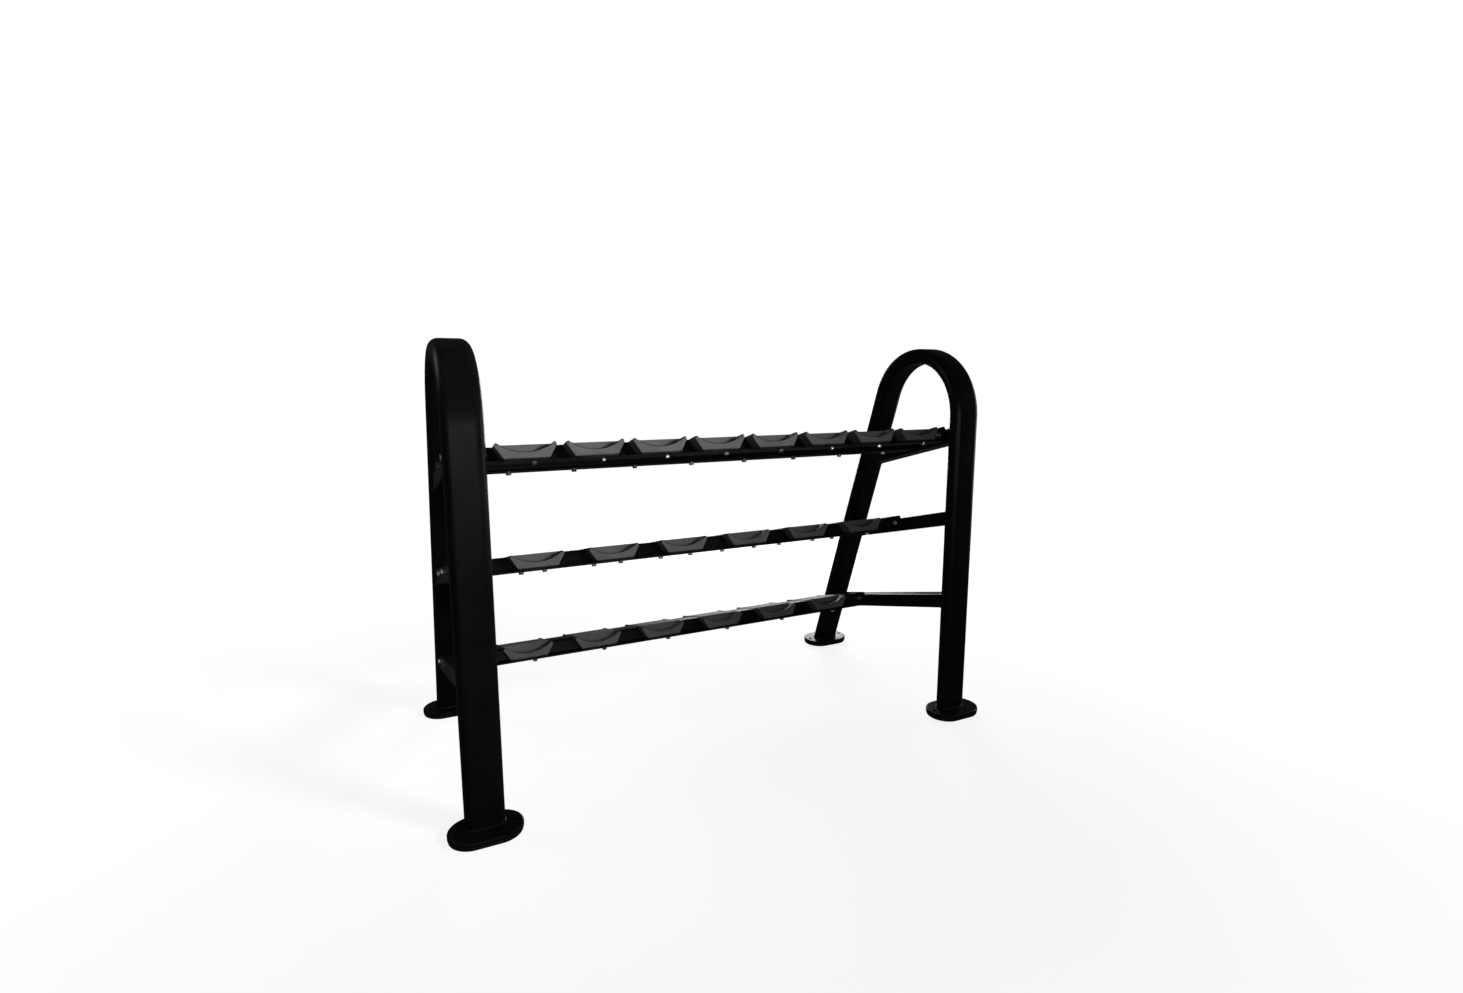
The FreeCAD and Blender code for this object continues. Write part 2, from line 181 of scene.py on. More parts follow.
def gloss_property(value, name, description):
    return FloatProperty(name=name, description=description, default=value, subtype="FACTOR")


def colour_property(rgb, name, description):
    return FloatVectorProperty(name=name, description=description, default=rgb, size=3,
                               subtype="COLOR")


class RackSizes(bpy.types.PropertyGroup):
    """Sizes that the frame's boxes don't give on their own."""

    rake: angle_property(20, "Front leg rake", "Lean of the front legs")
    tilt: angle_property(15, "Tray tilt", "Fall of the trays towards the user")
    tube_depth: size_property(50, "Tube depth", "Flat-oval tube between its flats")
    tube_wall: size_property(3, "Tube wall", "Wall of the flat-oval tube")
    bar_height: size_property(46, "Crossbar height", "Crossbar across its slope")
    bar_drop: size_property(6, "Crossbar drop", "Crossbar's underside below the tray flanges")
    bar_corner: size_property(5, "Crossbar corner", "Rounded long edges of the crossbars")
    bead: size_property(2.6, "Weld bead", "Radius of the weld beads")
    plate_edge: size_property(4, "Foot plate edge", "Rounded upper edge of the foot plates")
    pad_edge: size_property(4.5, "Foot pad edge", "Rounded lower edge of the rubber foot pads")
    anchor_hole: size_property(13, "Anchor hole", "Diameter of the floor anchor holes")
    anchor_spacing: size_property(148, "Anchor spacing", "Between the two anchor holes of a foot")
    sheet: size_property(4, "Sheet", "Thickness of the tray sheet")
    bend: size_property(4, "Bend", "Inside radius of the tray's bends")
    tray_width: size_property(198, "Tray width", "Tray over both flanges")
    channel_width: size_property(113, "Channel width", "Tray channel over its webs")
    channel_height: size_property(47.3, "Channel height", "Flange underside to the channel's top")
    saddle_width: size_property(155, "Saddle width", "Saddle at its widest line")
    saddle_base: size_property(114, "Saddle base", "Width of the saddle where it stands")
    saddle_top: size_property(49.5, "Saddle top", "Bridge's top above the flange underside")
    saddle_foot: size_property(8.3, "Saddle foot", "Saddle's base above the flange underside")
    saddle_length: size_property(196, "Saddle length", "Saddle between its two end faces")
    saddle_skin: size_property(2.0, "Saddle skin", "Saddle material over the channel")
    saddle_fit: size_property(0.2, "Saddle fit", "Gap between a saddle and the channel's web")
    saddle_shoulder: size_property(8, "Saddle shoulder", "Widest line below the bridge's top")
    saddle_corner: size_property(3, "Saddle corner", "Rounding of the widest line")
    saddle_tip_inset: size_property(
        5, "Bridge tip inset", "Bridge's upper edge inside the widest line")
    saddle_tip_corner: size_property(
        2.6, "Tip rounding", "Rounding of the cradle's tips and bridge's edges")
    saddle_tip_rise: size_property(1.5, "Tip rise", "Cradle's sharp tips above the bridge's top")
    saddle_edge: size_property(2, "End face edge", "Rounded edges of the saddle's end faces")
    cradle_tip_inset: size_property(
        4.46, "Cradle tip inset", "Cradle's sharp tips inside the widest line")
    cradle_depth: size_property(24.1, "Cradle depth", "Seat's lowest line below the bridge's top")
    pad_inset: size_property(4, "Pad inset", "Soft pad inside the saddle's base")
    bolt_stagger: size_property(18.5, "Bolt stagger", "Saddle bolts off the saddle's middle line")
    bolt_reach: size_property(84, "Bolt reach", "Saddle bolts from the tray's middle line")
    bolt_tip_gap: size_property(2, "Bolt tip gap", "Bolt's end short of the insert's end")
    insert_length: size_property(16, "Insert length", "Threaded insert in a saddle")
    washer_8_thickness: size_property(
        1.6, "Saddle washer", "Thickness of the saddle bolts' washers")
    washer_10_thickness: size_property(2, "End washer", "Thickness of the end bolts' washers")
    end_bolt_height: size_property(25, "End bolt height", "End bolts above the flanges' underside")
    round_steps: IntProperty(
        name="Round steps", description="Steps in each half-round of the tube",
        default=20, min=6)


class RackFinishes(bpy.types.PropertyGroup):
    """Colours and gloss of the rack's finishes."""

    coat: colour_property((0.0042, 0.0042, 0.0044), "Powder coat", "Black powder coat")
    coat_roughness: gloss_property(0.29, "Coat roughness", "Mean roughness of the powder coat")
    saddle: colour_property((0.17, 0.17, 0.175), "Saddle", "Grey moulded saddles")
    saddle_roughness: gloss_property(0.5, "Saddle roughness", "Mean roughness of the saddles")
    rubber: colour_property((0.012, 0.012, 0.0125), "Rubber", "Foot pads and saddle pads")
    zinc: colour_property((0.66, 0.67, 0.68), "Zinc", "Bright plated bolts, nuts and washers")
    brass: colour_property((0.62, 0.44, 0.16), "Brass", "Threaded inserts")


def sizes():
    return bpy.context.scene.rack_sizes


def finishes():
    return bpy.context.scene.rack_finishes


# ---------------------------------------------------------------- material nodes
def new_material(name):
    """A node material with only its Principled shader and output."""
    material = bpy.data.materials.new(name)
    material.use_nodes = True
    return material, material.node_tree


def feed(tree, inputs, values):
    """Set inputs, by name or number, each from a node's socket or to a plain value."""
    for key, value in values.items():
        if isinstance(value, bpy.types.NodeSocket):
            tree.links.new(value, inputs[key])
        else:
            inputs[key].default_value = value


def add_node(tree, kind, values=None, **settings):
    """A new node with its settings made and its inputs fed."""
    made = tree.nodes.new("ShaderNode" + kind)
    for name, setting in settings.items():
        setattr(made, name, setting)
    feed(tree, made.inputs, values or {})
    return made


def shade(material, values):
    """Feed the inputs of the material's shader."""
    tree = material.node_tree
    feed(tree, tree.nodes["Principled BSDF"].inputs, values)
    return material


def noise(tree, scale, detail=2.0, roughness=0.5, stretch=(1.0, 1.0, 1.0)):
    """Noise in the rack's own coordinates, scale per metre."""
    place = add_node(tree, "TexCoord").outputs["Object"]
    stretched = add_node(tree, "Mapping", {"Vector": place, "Scale": stretch}).outputs["Vector"]
    return add_node(tree, "TexNoise", {"Vector": stretched, "Scale": scale, "Detail": detail,
                                       "Roughness": roughness}).outputs["Fac"]


def ramp(tree, value, low, high, out_low=0.0, out_high=1.0):
    """value from low..high to out_low..out_high, clamped."""
    return add_node(tree, "MapRange", {"Value": value, "From Min": low, "From Max": high,
                                       "To Min": out_low, "To Max": out_high}).outputs["Result"]


def combine(tree, operation, first, second):
    """Math node of two values, each a socket or a number."""
    return add_node(tree, "Math", {0: first, 1: second}, operation=operation).outputs[0]


def mix_colour(tree, factor, first, second):
    """Colour between two, each a socket or an rgb triple."""
    first, second = (colour if isinstance(colour, bpy.types.NodeSocket) else (*colour, 1.0)
                     for colour in (first, second))
    return add_node(tree, "Mix", {"Factor": factor, 6: first, 7: second},
                    data_type="RGBA").outputs[2]


def bump(tree, height, distance, strength=1.0, under=None):
    """Bump of a height socket, on top of another bump."""
    values = {"Height": height, "Distance": distance, "Strength": strength}
    if under is not None:
        values["Normal"] = under
    return add_node(tree, "Bump", values).outputs["Normal"]


def worn_edges(tree, radius, low=0.015, high=0.12):
    """1 on outer edges and corners, 0 on open faces."""
    rounded = add_node(tree, "Bevel", {"Radius": radius}, samples=4).outputs["Normal"]
    plain = add_node(tree, "NewGeometry").outputs["Normal"]
    dot = add_node(tree, "VectorMath", {0: rounded, 1: plain}, operation="DOT_PRODUCT")
    turned = combine(tree, "SUBTRACT", dot.outputs["Value"], 1.0)
    return ramp(tree, combine(tree, "ABSOLUTE", turned, 0.0), low, high)


def scaled(colour, factor):
    return tuple(channel * factor for channel in colour)


def powder_coat():
    """Satin black powder coat: orange peel, fine grit, dust and rubbed edges."""
    material, tree = new_material("black_powder_coat")
    colour = tuple(finishes().coat)
    base = finishes().coat_roughness
    cloud = noise(tree, 6.0, detail=4.0, roughness=0.6)
    blotch = noise(tree, 45.0, detail=3.0, roughness=0.55)
    peel = noise(tree, 420.0)
    grit = noise(tree, 1800.0, detail=1.0)
    rubbed = (0.045, 0.045, 0.047)
    rub = combine(tree, "MULTIPLY", worn_edges(tree, 2.5 * MM), ramp(tree, blotch, 0.42, 0.62))
    tinted = mix_colour(tree, ramp(tree, cloud, 0.35, 0.7), colour, scaled(colour, 1.9))
    rough = ramp(tree, cloud, 0.3, 0.7, base - 0.05, base + 0.07)
    speck = ramp(tree, blotch, 0.4, 0.65, 0.0, 0.05)
    peeled = bump(tree, peel, 0.12 * MM, strength=0.55)
    return shade(material, {
        "Base Color": mix_colour(tree, rub, tinted, rubbed),
        "Roughness": combine(tree, "ADD", rough, speck),
        "Normal": bump(tree, grit, 0.03 * MM, strength=0.4, under=peeled),
        "Specular IOR Level": 0.3,
    })


def moulded_grey():
    """Grey moulded saddle plastic: spark-eroded grain, scuffs and polished edges."""
    material, tree = new_material("grey_saddle_moulding")
    colour = tuple(finishes().saddle)
    base = finishes().saddle_roughness
    cloud = noise(tree, 14.0, detail=4.0, roughness=0.6)
    fleck = noise(tree, 160.0, detail=3.0, roughness=0.6)
    grain = noise(tree, 1300.0, roughness=0.55)
    scuff = noise(tree, 34.0, detail=5.0, roughness=0.65, stretch=(7.0, 1.0, 1.0))
    scuffed = ramp(tree, scuff, 0.6, 0.74)
    edge = combine(tree, "MULTIPLY", worn_edges(tree, 2.0 * MM), ramp(tree, fleck, 0.3, 0.6))
    tinted = mix_colour(tree, ramp(tree, cloud, 0.35, 0.68),
                        scaled(colour, 0.86), scaled(colour, 1.12))
    marked = mix_colour(tree, combine(tree, "MULTIPLY", scuffed, 0.35),
                        tinted, scaled(colour, 1.7))
    rough = ramp(tree, fleck, 0.3, 0.7, base - 0.05, base + 0.08)
    grained = bump(tree, grain, 0.08 * MM, strength=0.6)
    return shade(material, {
        "Base Color": mix_colour(tree, combine(tree, "MULTIPLY", edge, 0.5),
                                 marked, scaled(colour, 1.3)),
        "Roughness": combine(tree, "SUBTRACT", rough, combine(tree, "MULTIPLY", edge, 0.1)),
        "Normal": bump(tree, scuff, 0.05 * MM, strength=0.35, under=grained),
        "Specular IOR Level": 0.35,
    })


def rim_painted_shade():
    """Saddle plastic darkened as painted shade for the seat's upward-facing rims, in patches."""
    material, tree = new_material("saddle_rim_painted_shade")
    colour = tuple(finishes().saddle)
    patch = ramp(tree, noise(tree, 110.0, detail=3.0, roughness=0.6), 0.3, 0.75)
    grain = noise(tree, 1300.0, roughness=0.55)
    return shade(material, {
        # Painted shade: the saddle grey darkened to between 0.05 and 0.22 of itself, in patches.
        "Base Color": mix_colour(tree, patch, scaled(colour, 0.05), scaled(colour, 0.22)),
        "Roughness": ramp(tree, patch, 0.0, 1.0, 0.55, 0.7),
        "Normal": bump(tree, grain, 0.08 * MM, strength=0.6),
        "Specular IOR Level": 0.2,
    })


def black_rubber():
    """Matte moulded rubber with dust in its grain."""
    material, tree = new_material("black_rubber")
    colour = tuple(finishes().rubber)
    cloud = noise(tree, 30.0, detail=4.0, roughness=0.6)
    grain = noise(tree, 900.0, detail=3.0, roughness=0.6)
    dust = ramp(tree, cloud, 0.4, 0.75)
    return shade(material, {
        "Base Color": mix_colour(tree, dust, colour, scaled(colour, 2.2)),
        "Roughness": ramp(tree, grain, 0.3, 0.7, 0.62, 0.82),
        "Normal": bump(tree, grain, 0.1 * MM, strength=0.7),
        "Specular IOR Level": 0.4,
    })


def bright_metal(name, colour, roughness):
    """Metal with a spangled tint and fine scratches that run one way."""
    material, tree = new_material(name)
    spangle = noise(tree, 260.0, detail=3.0, roughness=0.6)
    scratch = noise(tree, 900.0, stretch=(1.0, 6.0, 1.0))
    return shade(material, {
        "Base Color": mix_colour(tree, ramp(tree, spangle, 0.35, 0.65),
                                 scaled(colour, 0.78), colour),
        "Roughness": ramp(tree, spangle, 0.3, 0.7, roughness - 0.06, roughness + 0.1),
        "Normal": bump(tree, scratch, 0.03 * MM, strength=0.4),
        "Metallic": 1.0,
    })


FINISHES = {
    "frame_powder_coat": powder_coat,
    "tray_powder_coat": powder_coat,
    "saddle_moulding": moulded_grey,
    "foot_rubber": black_rubber,
    "saddle_pad_rubber": black_rubber,
    "zinc_hardware": lambda: bright_metal("bright_zinc", tuple(finishes().zinc), 0.3),
    "brass_inserts": lambda: bright_metal("insert_brass", tuple(finishes().brass), 0.34),
}
made_finishes = {}


def finish_for(slot):
    """The material of a record slot, made once per recipe."""
    recipe = FINISHES[slot]
    if recipe not in made_finishes:
        made_finishes[recipe] = recipe()
    return made_finishes[recipe]


# ---------------------------------------------------------------- mesh helpers
def loft(bm, rings, caps=(True, True), closed=False):
    """Quads between successive rings of points, with flat caps or joined end to end."""
    rows = [[bm.verts.new(point) for point in ring] for ring in rings]
    count = len(rows[0])
    pairs = list(zip(rows, rows[1:]))
    if closed:
        pairs.append((rows[-1], rows[0]))
    for lower, upper in pairs:
        for i in range(count):
            j = (i + 1) % count
            bm.faces.new((lower[i], lower[j], upper[j], upper[i]))
    if not closed and caps[0]:
        bm.faces.new(rows[0][::-1])
    if not closed and caps[1]:
        bm.faces.new(rows[-1])
    return rows


def hollow_loft(bm, outer, inner):
    """A tube: outer and inner rings lofted, joined at both open ends."""
    out = loft(bm, outer, (False, False))
    inn = loft(bm, [ring[::-1] for ring in inner], (False, False))
    count = len(out[0])
    for rim, bore, first in ((out[0], inn[0], True), (out[-1], inn[-1], False)):
        for i in range(count):
            j = (i + 1) % count
            quad = (rim[j], rim[i], bore[count - 1 - i], bore[count - 1 - j])
            bm.faces.new(quad if first else quad[::-1])


def fill_between(bm, loops):
    """Flat face inside the first loop of vertices and outside the others."""
    edges = [bm.edges.get((loop[i], loop[(i + 1) % len(loop)]))
             for loop in loops for i in range(len(loop))]
    bmesh.ops.triangle_fill(bm, use_beauty=True, edges=edges)


def round_angles(count):
    """Even steps round a circle."""
    return [2 * math.pi * k / count for k in range(count)]


def piece(name, bm, slot, nodes, smooth=math.radians(35), bevel=0.0, segments=2):
    """Finish a bmesh as a named piece that stands for CAD nodes and rides on the rack."""
    bmesh.ops.remove_doubles(bm, verts=bm.verts, dist=1e-7)
    bmesh.ops.recalc_face_normals(bm, faces=bm.faces)
    mesh = bpy.data.meshes.new(name)
    bm.to_mesh(mesh)
    bm.free()
    obj = bpy.data.objects.new(name, mesh)
    bpy.context.scene.collection.objects.link(obj)
    if bevel:
        rounding = obj.modifiers.new("rounded_edges", "BEVEL")
        rounding.width = bevel
        rounding.segments = segments
        rounding.limit_method = "ANGLE"
        rounding.angle_limit = math.radians(30)
        rounding.harden_normals = False
        bake_modifiers(obj)
    obj.data.shade_smooth()
    obj.data.set_sharp_from_angle(angle=smooth)
    obj.data.materials.append(finish_for(slot))
    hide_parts(*nodes)
    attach(obj, "root")
    return obj


def bake_modifiers(obj):
    """Apply the modifiers of an object to its mesh."""
    bpy.context.view_layer.update()
    graph = bpy.context.evaluated_depsgraph_get()
    mesh = bpy.data.meshes.new_from_object(obj.evaluated_get(graph))
    obj.modifiers.clear()
    old = obj.data
    obj.data = mesh
    bpy.data.meshes.remove(old)


def arc(centre, radius, start, end, steps):
    """(x, y) points of an arc between two angles in degrees."""
    angles = [math.radians(start + (end - start) * k / steps) for k in range(steps + 1)]
    return [(centre[0] + radius * math.cos(a), centre[1] + radius * math.sin(a))
            for a in angles]


def stadium(length, width, steps, inset=0.0):
    """(x, y) outline with two straight sides and two half-round ends, anticlockwise."""
    half = length / 2 - width / 2
    radius = width / 2 - inset
    return arc((half, 0.0), radius, -90, 90, steps) + arc((-half, 0.0), radius, 90, 270, steps)


def rounded_rectangle(width, low, high, radius, steps=5):
    """(x, h) outline of a rectangle with round corners, anticlockwise."""
    x = width / 2 - radius
    corners = ((x, high - radius), (-x, high - radius), (-x, low + radius), (x, low + radius))
    return [point for k, corner in enumerate(corners)
            for point in arc(corner, radius, 90 * k, 90 * k + 90, steps)]


# ---------------------------------------------------------------- places on the rack
class EndFrame:
    """Middle line of one end frame, read from its CAD box."""

    def __init__(self, side):
        low, high = (Vector(corner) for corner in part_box(side + "_end_frame"))
        size = sizes()
        self.x = (low.x + high.x) / 2
        self.width = high.x - low.x
        self.foot_top = low.z
        self.rear_y = high.y - size.tube_depth / 2
        self.front_y = low.y + size.tube_depth / 2 / math.cos(size.rake)
        spread = self.rear_y - self.front_y
        rise = high.z - size.tube_depth / 2 - low.z
        rake = size.rake
        self.radius = (spread * math.cos(rake) - rise * math.sin(rake)) / (
            1 + math.cos(rake) - math.sin(rake))
        self.arch_y = self.rear_y - self.radius
        self.arch_z = high.z - size.tube_depth / 2 - self.radius

    def half_depth(self, x):
        """Half depth of the flat-oval tube at x from its middle."""
        r = sizes().tube_depth / 2
        past_flat = max(0.0, abs(x) - (self.width / 2 - r))
        return math.sqrt(max(0.0, r * r - past_flat * past_flat))


class Tier:
    """Tray coordinates of one tier: x, up the slope, off the slope."""

    def __init__(self, name):
        low = Vector(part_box(name + "_tray")[0])
        high = Vector(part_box(name + "_tray")[1])
        size = sizes()
        half = size.tray_width / 2
        self.y = low.y + half * math.cos(size.tilt) + size.sheet * math.sin(size.tilt)
        self.z = low.z + half * math.sin(size.tilt)
        self.half_length = high.x
        self.turn = Matrix.Translation((0, self.y, self.z)) @ Matrix.Rotation(size.tilt, 4, "X")

    def at(self, x, up, off):
        """A point of the tray in the rack's coordinates."""
        return self.turn @ Vector((x, up, off))


def saddles_of(tier):
    """Names of one tier's saddles, from the -X end."""
    names = [n for n in frame["nodes"] if n.startswith(tier + "_saddle_") and n[-1].isdigit()]
    return sorted(names, key=lambda n: int(n.rsplit("_", 1)[1]))


def middle_x(node):
    """Middle of a node's box along the rack."""
    low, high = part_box(node)
    return (low[0] + high[0]) / 2


# ---------------------------------------------------------------- weld beads
def bead_along(bm, path, radius, phase=0.0):
    """A rippled weld bead round a closed path of (point, outward) pairs."""
    rings = []
    travelled = 0.0
    count = len(path)
    for i in range(count):
        point, outward = path[i]
        before, after = path[i - 1][0], path[(i + 1) % count][0]
        along = (after - before).normalized()
        side = outward.cross(along).normalized()
        swell = 1 + BEAD_RIPPLE * math.sin(travelled / RIPPLE_LENGTH + phase)
        r = radius * swell
        rings.append([point + (outward * math.cos(a) + side * math.sin(a)) * r
                      for a in round_angles(BEAD_STEPS)])
        travelled += (after - point).length
    loft(bm, rings, closed=True)


def resampled(points, step):
    """Points spaced evenly round a closed polyline."""
    spans = [(a, b, (b - a).length) for a, b in zip(points, points[1:] + points[:1])]
    total = sum(length for _, _, length in spans)
    count = max(8, round(total / step))
    result = []
    index = 0
    used = 0.0
    for k in range(count):
        target = total * k / count
        while used + spans[index][2] < target:
            used += spans[index][2]
            index += 1
        a, b, length = spans[index]
        result.append(a.lerp(b, (target - used) / length))
    return result


def weld(bm, outline, away, phase):
    """A bead round a tube's end; away points from the joint along the tube."""
    bead = sizes().bead
    points = resampled(outline, BEAD_SPACING)
    middle = sum(points, Vector()) / len(points)
    path = []
    for i, point in enumerate(points):
        along = (points[(i + 1) % len(points)] - points[i - 1]).normalized()
        outward = along.cross(away).normalized()
        if outward.dot(point - middle) < 0:
            outward.negate()
        path.append((point + away * BEAD_LIFT * bead, outward))
    bead_along(bm, path, bead, phase)


# ---------------------------------------------------------------- operators
class RACK_OT_end_frames(bpy.types.Operator):
    """Bend the two flat-oval end frames"""

    bl_idname = "rack.end_frames"
    bl_label = "End frames"

    def execute(self, context):
        for side in SIDES:
            self.bend(side)
        return {"FINISHED"}

    def bend(self, side):
        """One frame's hollow tube and the welds on its two feet."""
        size = sizes()
        place = EndFrame(side)
        width, depth, wall = place.width, size.tube_depth, size.tube_wall
        bm = bmesh.new()
        outer = self.rings(place, stadium(width, depth, size.round_steps))
        bore = stadium(width - 2 * wall, depth - 2 * wall, size.round_steps)
        inner = self.rings(place, bore)
        hollow_loft(bm, outer, inner)
        for y, lean in ((place.rear_y, 0.0), (place.front_y, size.rake)):
            outline = [Vector((place.x + x, y + d / math.cos(lean), place.foot_top))
                       for x, d in stadium(width, depth, size.round_steps)]
            weld(bm, outline, Vector((0, 0, 1)), place.x)
        piece(side + "_arch_tube", bm, "frame_powder_coat", [side + "_end_frame"])

    def rings(self, place, section):
        """Section swept up the rear leg, over the arch and down the raked leg."""
        size = sizes()
        rings = []
        for z in (place.foot_top, place.arch_z):
            rings.append([Vector((place.x + x, place.rear_y + d, z)) for x, d in section])
        turn = math.pi - size.rake
        for k in range(1, ARCH_STEPS + 1):
            angle = turn * k / ARCH_STEPS
            rings.append([Vector((place.x + x,
                                  place.arch_y + (place.radius + d) * math.cos(angle),
                                  place.arch_z + (place.radius + d) * math.sin(angle)))
                          for x, d in section])
        lean = math.cos(size.rake)
        rings.append([Vector((place.x + x, place.front_y - d / lean, place.foot_top))
                      for x, d in section])
        return rings


class RACK_OT_feet(bpy.types.Operator):
    """Make the four foot plates and the rubber pads under them"""

    bl_idname = "rack.feet"
    bl_label = "Feet"

    def execute(self, context):
        size = sizes()
        for side in SIDES:
            for end in ("rear", "front"):
                name = side + "_" + end + "_foot"
                self.plate(name + "_plate", "frame_powder_coat", size.plate_edge, 1)
                self.plate(name + "_pad", "foot_rubber", size.pad_edge, -1)
        return {"FINISHED"}

    def plate(self, node, slot, edge, rounded_side):
        """Oval plate with two holes, its upper (1) or lower (-1) edge rounded."""
        low, high = (Vector(corner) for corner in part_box(node))
        centre = (low + high) / 2
        length, width, thick = high - low
        size = sizes()
        bm = bmesh.new()
        profile = [(CUT_EDGE, -thick / 2), (0.0, -thick / 2 + CUT_EDGE)]
        profile += arc((edge, thick / 2 - edge), edge, 180, 90, QUARTER_STEPS)
        rings = [[Vector((centre.x + x, centre.y + y, centre.z + rounded_side * z))
                  for x, y in stadium(length, width, FOOT_STEPS, inset)]
                 for inset, z in profile]
        rows = loft(bm, rings, (False, False))
        holes = [self.hole(bm, centre, thick, side * size.anchor_spacing / 2, rounded_side)
                 for side in (-1, 1)]
        for face in (0, -1):
            fill_between(bm, [rows[face]] + [hole[face] for hole in holes])
        piece(node + "_piece", bm, slot, [node])

    def hole(self, bm, centre, thick, offset, rounded_side):
        """Wall of one anchor hole, chamfered on the rounded side."""
        r = sizes().anchor_hole / 2
        profile = [(r, -thick / 2), (r, thick / 2 - HOLE_CHAMFER),
                   (r + HOLE_CHAMFER, thick / 2)]
        rings = []
        for radius, z in profile:
            rings.append([Vector((centre.x + offset + radius * math.cos(a),
                                  centre.y + radius * math.sin(a),
                                  centre.z + rounded_side * z))
                          for a in round_angles(HOLE_STEPS)])
        return loft(bm, rings, (False, False))


class RACK_OT_crossbars(bpy.types.Operator):
    """Fit the six sloping crossbars between the legs, with their weld beads"""

    bl_idname = "rack.crossbars"
    bl_label = "Crossbars"

    def execute(self, context):
        for tier in TIERS:
            for side in SIDES:
                self.fit(tier, side)
        return {"FINISHED"}

    def fit(self, tier_name, side):
        """One crossbar, coped to both legs and welded round each end."""
        size = sizes()
        place = EndFrame(side)
        tier = Tier(tier_name)
        node = tier_name + "_" + side + "_crossbar"
        low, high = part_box(node)
        width = high[0] - low[0]
        bottom, top = -size.bar_drop, size.bar_height - size.bar_drop
        wall = size.tube_wall
        outline = rounded_rectangle(width, bottom, top, size.bar_corner)
        bore = rounded_rectangle(width - 2 * wall, bottom + wall, top - wall,
                                 size.bar_corner - wall)
        bm = bmesh.new()
        dense = self.dense(outline)
        hollow = self.dense(bore)
        hollow = [hollow[round(i * len(hollow) / len(dense)) % len(hollow)]
                  for i in range(len(dense))]
        rings, bores = ([[self.end(tier, place, x, h, front) for x, h in points]
                         for front in (True, False)] for points in (dense, hollow))
        hollow_loft(bm, rings, bores)
        rearward = (sum(rings[1], Vector()) - sum(rings[0], Vector())).normalized()
        weld(bm, rings[0], rearward, place.x + tier.z)
        weld(bm, rings[1], -rearward, place.x + tier.z)
        piece(node + "_piece", bm, "frame_powder_coat", [node])

    def dense(self, outline):
        """Outline with points every few millimetres, so that the cope follows the leg."""
        points = [Vector((x, 0, h)) for x, h in outline]
        return [(p.x, p.z) for p in resampled(points, 3 * MM)]

    def end(self, tier, place, x, h, front):
        """Where the bar's line at (x, h) meets the front or rear leg."""
        size = sizes()
        depth = place.half_depth(x)
        cos_t, sin_t = math.cos(size.tilt), math.sin(size.tilt)
        if front:
            cos_r, sin_r = math.cos(size.rake), math.sin(size.rake)
            up = (depth - (tier.y - h * sin_t - place.front_y) * cos_r
                  + (tier.z + h * cos_t - place.foot_top) * sin_r)
            up /= math.cos(size.tilt + size.rake)
        else:
            up = (place.rear_y - depth - tier.y + h * sin_t) / cos_t
        point = tier.at(0, up, h)
        return Vector((place.x + x, point.y, point.z))


class RACK_OT_trays(bpy.types.Operator):
    """Fold the three hat-section trays and their end plates"""

    bl_idname = "rack.trays"
    bl_label = "Trays"

    def execute(self, context):
        for name in TIERS:
            self.fold(name)
            for side in SIDES:
                self.close(name, side)
        return {"FINISHED"}

    def section(self):
        """Closed (up, off) outline of the bent sheet, with its cut edges eased."""
        size = sizes()
        half, web, top = size.tray_width / 2, size.channel_width / 2, size.channel_height
        sheet, inside = size.sheet, size.bend
        outside = inside + sheet
        faces = []
        for off, low_bend, high_bend in ((sheet, inside, outside), (0.0, outside, inside)):
            line = ([(half - CUT_EDGE, off)]
                    + arc((web + inside, outside), low_bend, 270, 180, QUARTER_STEPS)
                    + arc((web - outside, top - outside), high_bend, 0, 90, QUARTER_STEPS))
            faces.append(line + [(-y, z) for y, z in reversed(line)])
        upper, lower = faces
        edge = [(half, CUT_EDGE), (half, sheet - CUT_EDGE)]
        far_edge = [(-half, sheet - CUT_EDGE), (-half, CUT_EDGE)]
        return edge + upper + far_edge + lower[::-1]

    def fold(self, name):
        """One tray's bent sheet."""
        tier = Tier(name)
        outline = self.section()
        bm = bmesh.new()
        ends = [[tier.at(x, up, off) for up, off in outline]
                for x in (-tier.half_length, tier.half_length)]
        loft(bm, ends)
        piece(name + "_tray_sheet", bm, "tray_powder_coat", [name + "_tray"])

    def close(self, name, side):
        """End plate with rounded upper corners."""
        node = name + "_" + side + "_end_plate"
        tier = Tier(name)
        low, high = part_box(node)
        size = sizes()
        half = size.tray_width / 2 - END_PLATE_INSET
        top = size.channel_height + END_PLATE_RISE
        corner = 2 * size.bend
        outline = [(-half, 0.0), (half, 0.0)]
        for centre, start in ((half - corner, 0), (corner - half, 90)):
            outline += arc((centre, top - corner), corner, start, start + 90, CORNER_STEPS)
        bm = bmesh.new()
        loft(bm, [[tier.at(x, up, off) for up, off in outline] for x in (low[0], high[0])])
        piece(node + "_piece", bm, "tray_powder_coat", [node], bevel=CUT_EDGE)


